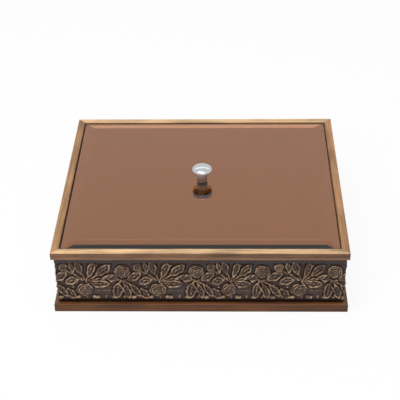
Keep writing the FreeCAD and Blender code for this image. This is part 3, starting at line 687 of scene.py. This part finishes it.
class WOODENBOX_OT_carved_bands(Operator):
    """Carves the four rose-and-leaf bands and mitres them at the corners"""
    bl_idname = "wooden_box.carved_bands"
    bl_label = "Carved bands"

    def execute(self, context):
        settings = context.scene.wooden_box.carving
        low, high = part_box("carved_band_front")
        relief = Relief(settings.repeat / MM, low.z / MM, high.z / MM, settings.step / MM,
                        settings.ground / MM)
        relief.carve()
        tile = carved_tile(relief, (high.y - low.y - settings.proud) / MM)
        tree = repeated_run_tree()
        finish = carved_wood(settings)
        for quarter, side in enumerate(SIDES):
            self.make_band(side, quarter, settings, tile, tree, finish)
        return {"FINISHED"}

    def make_band(self, side, quarter, settings, tile, tree, finish):
        """Lays the runs along one side, with their sprays in place and plain posts at the corners."""
        node = f"carved_band_{side}"
        low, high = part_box(node)
        lengthwise = quarter % 2
        half_length = high[lengthwise]
        face = max(abs(low[1 - lengthwise]), abs(high[1 - lengthwise])) - settings.proud
        count = math.ceil(2 * half_length / settings.repeat) + SPARE_RUNS
        mesh = long_carving(tile, tree, settings.repeat, count, settings.step / WELDS_A_STEP, finish)
        points = np.zeros(len(mesh.vertices) * 3)
        mesh.vertices.foreach_get("co", points)
        points = points.reshape(-1, 3)
        sprays = SHORT_SPRAYS if lengthwise else LONG_SPRAYS
        points[:, 0] = self.along(points[:, 0], settings.repeat, sprays)
        gap = half_length - np.abs(points[:, 0])
        ends = 1 - soft_step(gap, CORNER_POST / 2 * MM, CORNER_POST * MM)
        post = np.maximum(-points[:, 1], CORNER_LEVEL * MM) + points[:, 1]
        carved = -points[:, 1] > BACK_DEPTH * -settings.ground
        points[:, 1] -= face + np.where(carved, ends * post, 0)
        mesh.vertices.foreach_set("co", points.ravel())
        cut_mitres(mesh, half_length, face)
        mesh.transform(Matrix.Rotation(quarter * math.pi / 2, 4, "Z"))
        mesh.update()
        if not mesh.polygons:
            raise RuntimeError(f"{node} came out empty")
        new_piece(f"carving_{side}", mesh, BOX_BODY, "carved_wood", node)

    def along(self, u, repeat, sprays):
        """Where points of the repeated runs lie along a side, counted from its middle."""
        regular = [(SPARE_RUNS // 2 + index // 2) * repeat + index % 2 * SECOND_SPRAY * MM
                   for index in range(len(sprays))]
        real = [place * MM for place in sprays]
        regular = [regular[0] - repeat, *regular, regular[-1] + repeat]
        real = [real[0] - repeat, *real, real[-1] + repeat]
        return np.interp(u, regular, real)


# Timber

# Stretch of a grain pattern along and across the board
CLOUD_GRAIN, BLOTCH_GRAIN, FIGURE_GRAIN = (6.0, 30.0), (26.0, 70.0), (7.0, 190.0)
STREAK_GRAIN, PORE_GRAIN = (18.0, 760.0), (110.0, 2600.0)
# Rim: shade of its outer face low down and near the top, and depths below the top where they and the top meet
SIDE_LOW_SHADE, SIDE_HIGH_SHADE = 1.3, 0.88
SIDE_LOW, SIDE_HIGH, TOP_LOW, TOP_HIGH = 8.0 * MM, 4.5 * MM, 0.9 * MM, 0.2 * MM
# Dark line of a mitre: where it starts to fade, where it ends, and its shade
SEAM_DARK, SEAM_CLEAR, SEAM_SHADE = 0.05 * MM, 0.32 * MM, 0.35
# Painted shade on a plinth's ledge along the foot of the carved band: where it fades, inside and outside the
# band's face, and its level
LEDGE_SHADE_UNDER, LEDGE_SHADE_OUT, LEDGE_SHADE_LEVEL = 1.6 * MM, 0.3 * MM, 0.06
# How far below the plinth's upper face the painted shade starts to fade and ends
LEDGE_SHADE_DOWN, LEDGE_SHADE_END = 0.5 * MM, 2.0 * MM


def grain(place, lengthwise, along, across):
    """Coordinates of a grain pattern: slow along the board, fast across it."""
    factors = [across] * 3
    factors[lengthwise] = along
    return place.stretched(factors)


def timber(name, lengthwise, colour, side_colour=None, top=None, gloss=0.4, seam=None, ledge_shade=None):
    """Satin wood whose grain runs along X or Y; a top face may be paler than the sides, and painted shade may
    lie along the foot of a neighbouring strip."""
    material, paint = new_finish(name)
    place = object_place(paint)
    cloud = grain(place, lengthwise, *CLOUD_GRAIN).noise(detail=2.0)
    figure = grain(place, lengthwise, *FIGURE_GRAIN).noise(detail=2.0, distortion=0.8)
    streak = grain(place, lengthwise, *STREAK_GRAIN).noise(roughness=0.6)
    pore = grain(place, lengthwise, *PORE_GRAIN).noise(detail=2.0, roughness=0.6).ramp(0.54, 0.7)
    base = tuple(colour)
    height = place.axis("Z")
    if side_colour is not None:
        side = height.ramp(top - SIDE_LOW, top - SIDE_HIGH).tint(
            shaded(side_colour, SIDE_LOW_SHADE), shaded(side_colour, SIDE_HIGH_SHADE))
        base = height.ramp(top - TOP_LOW, top - TOP_HIGH).tint(side, colour)
    blotch = grain(place, lengthwise, *BLOTCH_GRAIN).noise(detail=2.0)
    tone = 0.35 * blotch.ramp(0.3, 0.7) + 0.3 * figure.ramp(0.32, 0.68) + 0.35 * streak.ramp(0.32, 0.68)
    shade = (tone + 0.25 * (cloud - 0.5)) * 1.2 + 0.4 - 0.25 * pore
    x, y = abs(place.axis("X")), abs(place.axis("Y"))
    if seam is not None:
        shade = shade * abs(x - y - seam).ramp(SEAM_DARK, SEAM_CLEAR).most(SEAM_SHADE)
    # Painted shade: darkens a ledge's inner part along the band's foot, as a shadow, and fades down its front
    if ledge_shade is not None:
        reach, upper_face = ledge_shade
        unshaded = (x - seam).most(y).ramp(reach - LEDGE_SHADE_UNDER, reach + LEDGE_SHADE_OUT)
        unshaded = unshaded.most((upper_face - height).ramp(LEDGE_SHADE_DOWN, LEDGE_SHADE_END))
        shade = shade * unshaded.most(LEDGE_SHADE_LEVEL)
    grained = paint.node("ShaderNodeVectorMath", {"operation": "SCALE"}, {0: base, "Scale": shade})
    shader = principled(
        paint, Base_Color=grained, Roughness=gloss + 0.16 * (streak - 0.5) + 0.1 * pore,
        Normal=paint.bump(streak * 0.6 - pore * 0.4, strength=0.4, distance=0.08 * MM),
        Specular_IOR_Level=0.3, Coat_Weight=0.05, Coat_Roughness=0.25)
    return finished(material, paint, shader)


def dress_frame(part, woods):
    """Gives the four strips of a frame their wood: the first for front and back, the second for the ends."""
    for quarter, side in enumerate(SIDES):
        dress(f"{part}_{side}", woods[quarter % 2])


def corner_seam(node):
    """How much farther a mitred frame reaches along X than along Y."""
    low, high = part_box(node)
    return high.x + low.y


class WOODENBOX_OT_rim(Operator):
    """Finishes the four rim bars round the lid"""
    bl_idname = "wooden_box.rim"
    bl_label = "Rim"

    def execute(self, context):
        settings = context.scene.wooden_box.timber
        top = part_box("rim_front")[1].z
        seam = corner_seam("rim_front")
        # The long bars' paler tops carry painted sheen
        colours = settings.rim_long_with_sheen, settings.rim_short
        dress_frame("rim", [timber(f"Rim wood along {letter}", lengthwise, colours[lengthwise],
                                   settings.rim_side, top, gloss=0.36, seam=seam)
                            for lengthwise, letter in enumerate("XY")])
        return {"FINISHED"}


class WOODENBOX_OT_plinth(Operator):
    """Finishes the four strips of the plinth"""
    bl_idname = "wooden_box.plinth"
    bl_label = "Plinth"

    def execute(self, context):
        settings = context.scene.wooden_box.timber
        seam = corner_seam("plinth_front")
        # The plinth's ledge gets painted shade along the carved band's foot
        ledge_shade = -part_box("carved_band_front")[0].y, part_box("plinth_front")[1].z
        dress_frame("plinth", [timber(f"Plinth wood along {letter}", lengthwise, settings.plinth,
                                      seam=seam, ledge_shade=ledge_shade)
                               for lengthwise, letter in enumerate("XY")])
        return {"FINISHED"}


class WOODENBOX_OT_walls(Operator):
    """Finishes the wall boards and the base panel"""
    bl_idname = "wooden_box.walls"
    bl_label = "Walls and base"

    def execute(self, context):
        settings = context.scene.wooden_box.timber
        dress_frame("wall", [timber(f"Wall wood along {letter}", lengthwise, settings.wall, gloss=0.48)
                             for lengthwise, letter in enumerate("XY")])
        dress("base_panel", timber("Base board", 0, settings.board, gloss=0.5))
        return {"FINISHED"}


# Metal, washers, glass

def metal(name, colour, roughness, smudge, collar_highlight=None):
    """Plated or bright metal with faint wiping marks; a knob has a painted highlight on its collar's lip and
    a duller stem.
    """
    material, paint = new_finish(name)
    place = object_place(paint)
    wipe = place.stretched((1.0, 1.0, 3.0)).noise(scale=160.0, detail=4.0, roughness=0.6)
    scratch = place.stretched((1.0, 1.0, 12.0)).noise(scale=900.0, detail=2.0)
    film = wipe.ramp(0.45, 0.75)
    plating = film.tint(colour, shaded(colour, 0.94))
    polish = 1.0
    if collar_highlight is not None:
        foot, top, collar_highlight_colour = collar_highlight
        level = place.axis("Z")
        above = level.ramp(top, top + 0.2 * MM)
        collar_highlight_mask = level.ramp(foot - 0.1 * MM, foot) - above
        polish = (1.0 - 0.65 * level.ramp(foot - 5.5 * MM, foot - 2.5 * MM)).most(above)
        # The collar's lip is painted pale: a painted highlight
        plating = collar_highlight_mask.tint(plating, collar_highlight_colour)
    shader = principled(
        paint, Base_Color=plating, Metallic=polish,
        Roughness=roughness + smudge * film + 0.3 * smudge * scratch.ramp(0.5, 0.8))
    return finished(material, paint, shader)


def moulded(name, colour, roughness):
    """Plain moulded washer stock with a fine skin."""
    material, paint = new_finish(name)
    place = object_place(paint)
    skin = place.noise(scale=1800.0, roughness=0.6)
    cloud = place.noise(scale=220.0, detail=2.0)
    shader = principled(
        paint, Base_Color=cloud.tint(shaded(colour, 0.85), colour),
        Roughness=roughness + 0.2 * (skin - 0.5),
        Normal=paint.bump(skin, strength=0.3, distance=0.05 * MM))
    return finished(material, paint, shader)


class WOODENBOX_OT_fasteners(Operator):
    """Finishes the screws, brads and washers"""
    bl_idname = "wooden_box.fasteners"
    bl_label = "Fasteners"

    def execute(self, context):
        settings = context.scene.wooden_box.knob
        steel = metal("Zinc-plated steel", settings.steel, roughness=0.3, smudge=0.12)
        for node in ("plinth_screws", "wall_brads", "knob_screw"):
            dress(node, steel)
        dress("knob_washer", moulded("Soft washer", settings.soft_washer, roughness=0.55))
        dress("screw_washer", moulded("Nylon washer", settings.nylon, roughness=0.45))
        return {"FINISHED"}


def tinted_glass(settings):
    """Bronze glass with faint wiping marks."""
    material, paint = new_finish("Bronze glass")
    wipe = object_place(paint).stretched((1.0, 2.5, 1.0)).noise(scale=28.0, detail=4.0, roughness=0.6)
    shader = principled(
        paint, Base_Color=rgba(settings.tint), Roughness=0.012 * wipe.ramp(0.5, 0.8),
        IOR=1.52, Transmission_Weight=1.0)
    return finished(material, paint, shader)


def silvering(settings):
    """The mirror layer, seen through the glass."""
    material, paint = new_finish("Mirror silver")
    cloud = object_place(paint).noise(scale=60.0).ramp(0.3, 0.7)
    shader = principled(
        paint, Base_Color=cloud.tint(shaded(settings.silver, 0.985), settings.silver),
        Metallic=1.0, Roughness=0.0)
    return finished(material, paint, shader)


def backing_paint(settings):
    """Rolled paint that guards the mirror layer from below."""
    material, paint = new_finish("Backing paint")
    place = object_place(paint)
    roller = place.noise(scale=700.0, roughness=0.6)
    cloud = place.noise(scale=24.0)
    shader = principled(
        paint, Base_Color=cloud.tint(shaded(settings.backing, 0.8), settings.backing),
        Roughness=0.42 + 0.2 * (roller - 0.5),
        Normal=paint.bump(roller, strength=0.4, distance=0.05 * MM))
    return finished(material, paint, shader)


# Bevel's width and drop, radius of the hole for the knob's screw, and gap between the glass and its backing
BEVEL_WIDTH, BEVEL_DROP, SCREW_HOLE, BACKING_GAP = 13 * MM, 1.7 * MM, 2.5 * MM, 0.02 * MM
HOLE_FACETS = 48
# Places of the lines that bend the bevel softly, as shares of the bend's width from the flat field
SOFT_BEVEL_SHARES = (1.0, 0.8, 0.6, 0.4, 0.2, 0.0)
# Levels of the glass below the first of those lines: its underside and both lines of the outer edge
LEVELS_BELOW_BEND = 3


def ring(shape, half_x, half_y, z):
    """Four corners of a level rectangle."""
    return [shape.verts.new((x * half_x, y * half_y, z)) for x, y in ((-1, -1), (1, -1), (1, 1), (-1, 1))]


def circle(shape, radius, z):
    """Points of a level circle round the Z axis."""
    turns = [2 * math.pi * index / HOLE_FACETS for index in range(HOLE_FACETS)]
    return [shape.verts.new((radius * math.cos(turn), radius * math.sin(turn), z)) for turn in turns]


def bridge(shape, lower, upper):
    """A wall of quads between two closed rings of as many points."""
    for index, corner in enumerate(lower):
        after = (index + 1) % len(lower)
        shape.faces.new((corner, lower[after], upper[after], upper[index]))


def fill_between(shape, outer, hole):
    """A flat face with a round hole, in triangles."""
    edges = []
    for loop in (outer, hole):
        for index, corner in enumerate(loop):
            pair = (corner, loop[(index + 1) % len(loop)])
            edges.append(shape.edges.get(pair) or shape.edges.new(pair))
    filled = bmesh.ops.triangle_fill(shape, edges=edges, use_beauty=True)
    return [item for item in filled["geom"] if isinstance(item, bmesh.types.BMFace)]


def plate_with_hole(name, levels, hole_radius, materials):
    """A closed plate of level rectangles with a round hole; its lowest face takes the last material."""
    shape = bmesh.new()
    rings = [ring(shape, *level) for level in levels]
    for lower, upper in zip(rings, rings[1:]):
        bridge(shape, lower, upper)
    for edge in shape.edges:
        edge.smooth = False
    for bend in rings[LEVELS_BELOW_BEND:-1]:
        for corner, after in zip(bend, bend[1:] + bend[:1]):
            shape.edges.get((corner, after)).smooth = True
    for face in shape.faces:
        face.smooth = True
    holes = [circle(shape, hole_radius, levels[place][2]) for place in (0, -1)]
    bridge(shape, *holes)
    fill_between(shape, rings[-1], holes[1])
    for face in fill_between(shape, rings[0], holes[0]):
        face.material_index = len(materials) - 1
    bmesh.ops.recalc_face_normals(shape, faces=shape.faces[:])
    mesh = bpy.data.meshes.new(name)
    shape.to_mesh(mesh)
    shape.free()
    for material in materials:
        mesh.materials.append(material)
    return mesh


class WOODENBOX_OT_lid(Operator):
    """Makes the bevelled bronze mirror of the lid and its painted backing"""
    bl_idname = "wooden_box.lid"
    bl_label = "Mirror lid"

    def execute(self, context):
        settings = context.scene.wooden_box.lid
        low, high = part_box("lid_mirror")
        arris = settings.arris
        slope = BEVEL_DROP / (BEVEL_WIDTH - settings.bevel_soft / 2)
        levels = [
            (high.x, high.y, low.z + settings.coat + BACKING_GAP),
            (high.x, high.y, high.z - BEVEL_DROP - arris)]
        for inset in (arris, *(BEVEL_WIDTH - settings.bevel_soft * share for share in SOFT_BEVEL_SHARES)):
            from_field = BEVEL_WIDTH - inset
            soft = min(from_field, settings.bevel_soft)
            drop = slope * (from_field - soft + soft ** 2 / (2 * settings.bevel_soft))
            levels.append((high.x - inset, high.y - inset, high.z - drop))
        glass = plate_with_hole("mirror_glass", levels, SCREW_HOLE,
                                [tinted_glass(settings), silvering(settings)])
        new_piece("mirror_glass", glass, LID_BODY, "bronze_mirror", "lid_mirror")
        back_levels = (
            (high.x - arris, high.y - arris, low.z),
            (high.x - arris, high.y - arris, low.z + settings.coat))
        backing = plate_with_hole("mirror_backing", back_levels, SCREW_HOLE, [backing_paint(settings)])
        new_piece("mirror_backing", backing, LID_BODY, "bronze_mirror")
        return {"FINISHED"}


# Knob

# Height of the collar's underside above the foot, and the collar's thickness, in millimetres
COLLAR_RISE, COLLAR_LIP = 8.6, 0.8
# Angle from which an edge is shaded as sharp
KNOB_SHARP = math.radians(40)


def arc(middle, radius, start, end, count):
    """Points of an arc in the knob's half section, angles in degrees from outwards, up positive."""
    turns = np.radians(np.linspace(start, end, count + 1))
    return [(middle[0] + radius * math.cos(turn), middle[1] + radius * math.sin(turn)) for turn in turns]


def knob_profile(foot, height):
    """Half section of the knob in millimetres from the axis and the foot up, crown first."""
    head_radius, head_rise, head_edge, head_steps = 11.1, 11.8, 1.1, 44
    collar_radius, collar_rise, collar_lip = 7.1, COLLAR_RISE, COLLAR_LIP
    neck_radius, foot_radius = 5.0, 5.8
    bore_radius, bore_depth = 2.05, 9.0
    cove, foot_round, flank_end = 0.9, 0.3, 181
    edge_level = head_rise + head_edge
    rise = height - edge_level
    points = [(head_radius * math.sin(t), edge_level + rise * math.cos(t))
              for t in (math.pi / 2 * step / head_steps for step in range(head_steps + 1))]
    points += arc((head_radius - head_edge, edge_level), head_edge, 0, -90, count=10)[1:]
    points += arc((neck_radius + cove, head_rise - cove), cove, 90, 180, count=8)
    lip_top = collar_rise + collar_lip
    points += arc((neck_radius + cove, lip_top + cove), cove, 180, 270, count=8)
    lip = collar_lip / 2
    points += arc((collar_radius - lip, collar_rise + lip), lip, 90, -60, count=10)
    spread, tall = collar_radius - foot_radius, collar_rise
    flank = (spread ** 2 + tall ** 2) / (2 * spread)
    top_turn = 180 - math.degrees(math.asin(tall / flank))
    points += arc((foot_radius + flank, 0), flank, top_turn, flank_end, count=20)[1:]
    points += arc((foot_radius - foot_round, foot_round), foot_round, 0, -90, count=5)
    points += [(bore_radius, 0), (bore_radius, bore_depth), (0, bore_depth)]
    return [(r * MM, foot + z * MM) for r, z in points]


def turned_mesh(name, profile, turns):
    """A half section turned round the Z axis; its ends lie on the axis."""
    inner = np.array(profile[1:-1])
    angles = 2 * np.pi * np.arange(turns) / turns
    rings = np.stack([np.outer(inner[:, 0], np.cos(angles)), np.outer(inner[:, 0], np.sin(angles)),
                      np.outer(inner[:, 1], np.ones(turns))], axis=-1).reshape(-1, 3)
    points = [(0, 0, profile[0][1]), *rings.tolist(), (0, 0, profile[-1][1])]
    last = len(points) - 1
    faces = []
    for turn in range(turns):
        after = (turn + 1) % turns
        faces.append((0, 1 + turn, 1 + after))
        for level in range(len(inner) - 1):
            near, far = 1 + level * turns, 1 + (level + 1) * turns
            faces.append((near + turn, far + turn, far + after, near + after))
        faces.append((last, last - turns + after, last - turns + turn))
    mesh = bpy.data.meshes.new(name)
    mesh.from_pydata(points, [], faces)
    mesh.shade_smooth()
    mesh.set_sharp_from_angle(angle=KNOB_SHARP)
    return mesh


class WOODENBOX_OT_knob(Operator):
    """Turns the chrome mushroom knob"""
    bl_idname = "wooden_box.knob"
    bl_label = "Knob"

    def execute(self, context):
        settings = context.scene.wooden_box.knob
        low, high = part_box("knob")
        mesh = turned_mesh("chrome_knob", knob_profile(low.z, (high.z - low.z) / MM), settings.turns)
        # The pale ring on the collar's lip is a painted highlight
        collar_highlight = low.z + COLLAR_RISE * MM, low.z + (COLLAR_RISE + COLLAR_LIP + 0.1) * MM, settings.collar_highlight
        chrome = metal("Polished chrome", settings.chrome, roughness=0.15, smudge=0.05, collar_highlight=collar_highlight)
        mesh.materials.append(chrome)
        new_piece("chrome_knob", mesh, LID_BODY, "chrome", "knob")
        return {"FINISHED"}


# Stage

# Fill light from the front and from the back
FILL_FRONT, FILL_BACK = (0.21, 0.21, 0.215), (0.60, 0.60, 0.60)
# Floor: its colour for light that bounces and where it is seen, and its share of white that needs no light
FLOOR_GREY, FLOOR_WHITE, FLOOR_GLOW = (0.5, 0.5, 0.5), (0.95, 0.95, 0.95), 0.9
WHITE = (1.0, 1.0, 1.0)
# Point that the overhead and the front light face
LIGHT_AIM = (0.0, 0.0, 0.05)
SENSOR_WIDTH = 36.0


def background_seen(paint):
    """1 for rays that show the background: the camera's own, and those off metal and through glass."""
    seen = paint.node("ShaderNodeLightPath", output="Is Camera Ray")
    for kind in ("Is Glossy Ray", "Is Transmission Ray"):
        seen = seen.most(paint.node("ShaderNodeLightPath", output=kind))
    return seen


def studio_world(context):
    """White to the camera, to mirrors and through glass; elsewhere a soft fill, stronger from the back."""
    world = bpy.data.worlds.new("Studio")
    world.use_nodes = True
    world.node_tree.nodes.clear()
    paint = Signal(world.node_tree)
    ahead = paint.node("ShaderNodeTexCoord", output="Generated").axis("Y")
    fill = ahead.ramp(-0.7, 0.7).tint(FILL_FRONT, FILL_BACK)
    seen = background_seen(paint).tint(fill, WHITE)
    light = paint.node("ShaderNodeBackground", inputs={"Color": seen, "Strength": 1.0})
    paint.node("ShaderNodeOutputWorld", inputs={"Surface": light})
    context.scene.world = world


def floor_paint():
    """Pale floor: white to the camera, to mirrors and through glass, with the object's shadow."""
    material, paint = new_finish("Pale floor")
    seen = background_seen(paint)
    grey = paint.node("ShaderNodeBsdfDiffuse", inputs={"Color": seen.tint(FLOOR_GREY, FLOOR_WHITE)})
    glow = paint.node("ShaderNodeEmission", inputs={"Color": rgba(WHITE), "Strength": 1.0})
    mixed = paint.node("ShaderNodeMixShader", inputs={0: seen * FLOOR_GLOW, 1: grey, 2: glow})
    return finished(material, paint, mixed)


class WOODENBOX_OT_stage(Operator):
    """Sets the floor, the light and the camera"""
    bl_idname = "wooden_box.stage"
    bl_label = "Stage"

    def execute(self, context):
        settings = context.scene.wooden_box.stage
        context.scene.view_settings.view_transform = "Standard"
        studio_world(context)
        self.make_floor(context, settings.floor_half)
        self.make_softbox(context, "overhead_softbox", settings.key_place, LIGHT_AIM, settings.key_width,
                          settings.key_depth, settings.key_level, mirrored=True)
        self.make_softbox(context, "front_softbox", settings.front_place, LIGHT_AIM, settings.front_size,
                          settings.front_size, settings.front_level, mirrored=False)
        below = (0.0, settings.back_place[1], 0.0)
        self.make_softbox(context, "back_softbox", settings.back_place, below, settings.back_width,
                          settings.back_depth, settings.back_level, mirrored=True)
        self.make_camera(context, settings)
        return {"FINISHED"}

    def make_floor(self, context, half):
        mesh = bpy.data.meshes.new("floor")
        corners = [(x * half, y * half, 0) for x, y in ((-1, -1), (1, -1), (1, 1), (-1, 1))]
        mesh.from_pydata(corners, [], [(0, 1, 2, 3)])
        mesh.materials.append(floor_paint())
        floor = bpy.data.objects.new("floor", mesh)
        context.scene.collection.objects.link(floor)

    def make_softbox(self, context, name, place, aim, width, depth, level, mirrored):
        """A rectangular soft light that faces a point; mirrors may see it or not."""
        lamp = bpy.data.lights.new(name, "AREA")
        lamp.shape = "RECTANGLE"
        lamp.size = width
        lamp.size_y = depth
        lamp.energy = level * width * depth * math.pi
        softbox = bpy.data.objects.new(name, lamp)
        softbox.location = place
        softbox.rotation_euler = (Vector(aim) - Vector(place)).to_track_quat("-Z", "Y").to_euler()
        softbox.visible_camera = False
        softbox.visible_glossy = mirrored
        softbox.visible_transmission = mirrored
        context.scene.collection.objects.link(softbox)

    def make_camera(self, context, settings):
        lens = bpy.data.cameras.new("camera")
        lens.sensor_fit = "HORIZONTAL"
        lens.sensor_width = SENSOR_WIDTH
        lens.lens = settings.camera_lens
        yaw, pitch, roll = settings.camera_yaw, settings.camera_pitch, settings.camera_roll
        ahead = Vector((math.sin(yaw) * math.cos(pitch), math.cos(yaw) * math.cos(pitch), -math.sin(pitch)))
        right = Vector((math.cos(yaw), -math.sin(yaw), 0))
        up = right.cross(ahead)
        across = right * math.cos(roll) + up * math.sin(roll)
        upright = up * math.cos(roll) - right * math.sin(roll)
        camera = bpy.data.objects.new("camera", lens)
        turn = Matrix((across, upright, -ahead)).transposed().to_4x4()
        camera.matrix_world = Matrix.Translation(settings.camera_place) @ turn
        context.scene.collection.objects.link(camera)
        context.scene.camera = camera


OPERATORS = (
    WOODENBOX_OT_stage, WOODENBOX_OT_carved_bands, WOODENBOX_OT_rim, WOODENBOX_OT_plinth,
    WOODENBOX_OT_walls, WOODENBOX_OT_fasteners, WOODENBOX_OT_lid, WOODENBOX_OT_knob)


class WOODENBOX_PT_panel(Panel):
    """Lists the pieces of the wooden box and their sizes and colours"""
    bl_idname = "WOODENBOX_PT_panel"
    bl_label = "Wooden box"
    bl_space_type = "VIEW_3D"
    bl_region_type = "UI"
    bl_category = "Wooden box"

    def draw(self, context):
        settings = context.scene.wooden_box
        for made in OPERATORS:
            self.layout.operator(made.bl_idname)
        for group in (settings.carving, settings.timber, settings.lid, settings.knob, settings.stage):
            column = self.layout.column(align=True)
            for name in group.__annotations__:
                column.prop(group, name)


CLASSES = (CarvingSettings, TimberSettings, LidSettings, KnobSettings, StageSettings,
           WoodenBoxSettings, *OPERATORS, WOODENBOX_PT_panel)


def register():
    for made in CLASSES:
        bpy.utils.register_class(made)
    bpy.types.Scene.wooden_box = PointerProperty(type=WoodenBoxSettings)


def unregister():
    del bpy.types.Scene.wooden_box
    for made in reversed(CLASSES):
        bpy.utils.unregister_class(made)


def main():
    register()
    bpy.ops.wooden_box.stage()
    bpy.ops.wooden_box.carved_bands()
    bpy.ops.wooden_box.rim()
    bpy.ops.wooden_box.plinth()
    bpy.ops.wooden_box.walls()
    bpy.ops.wooden_box.fasteners()
    bpy.ops.wooden_box.lid()
    bpy.ops.wooden_box.knob()


if __name__ == "__main__":
    main()
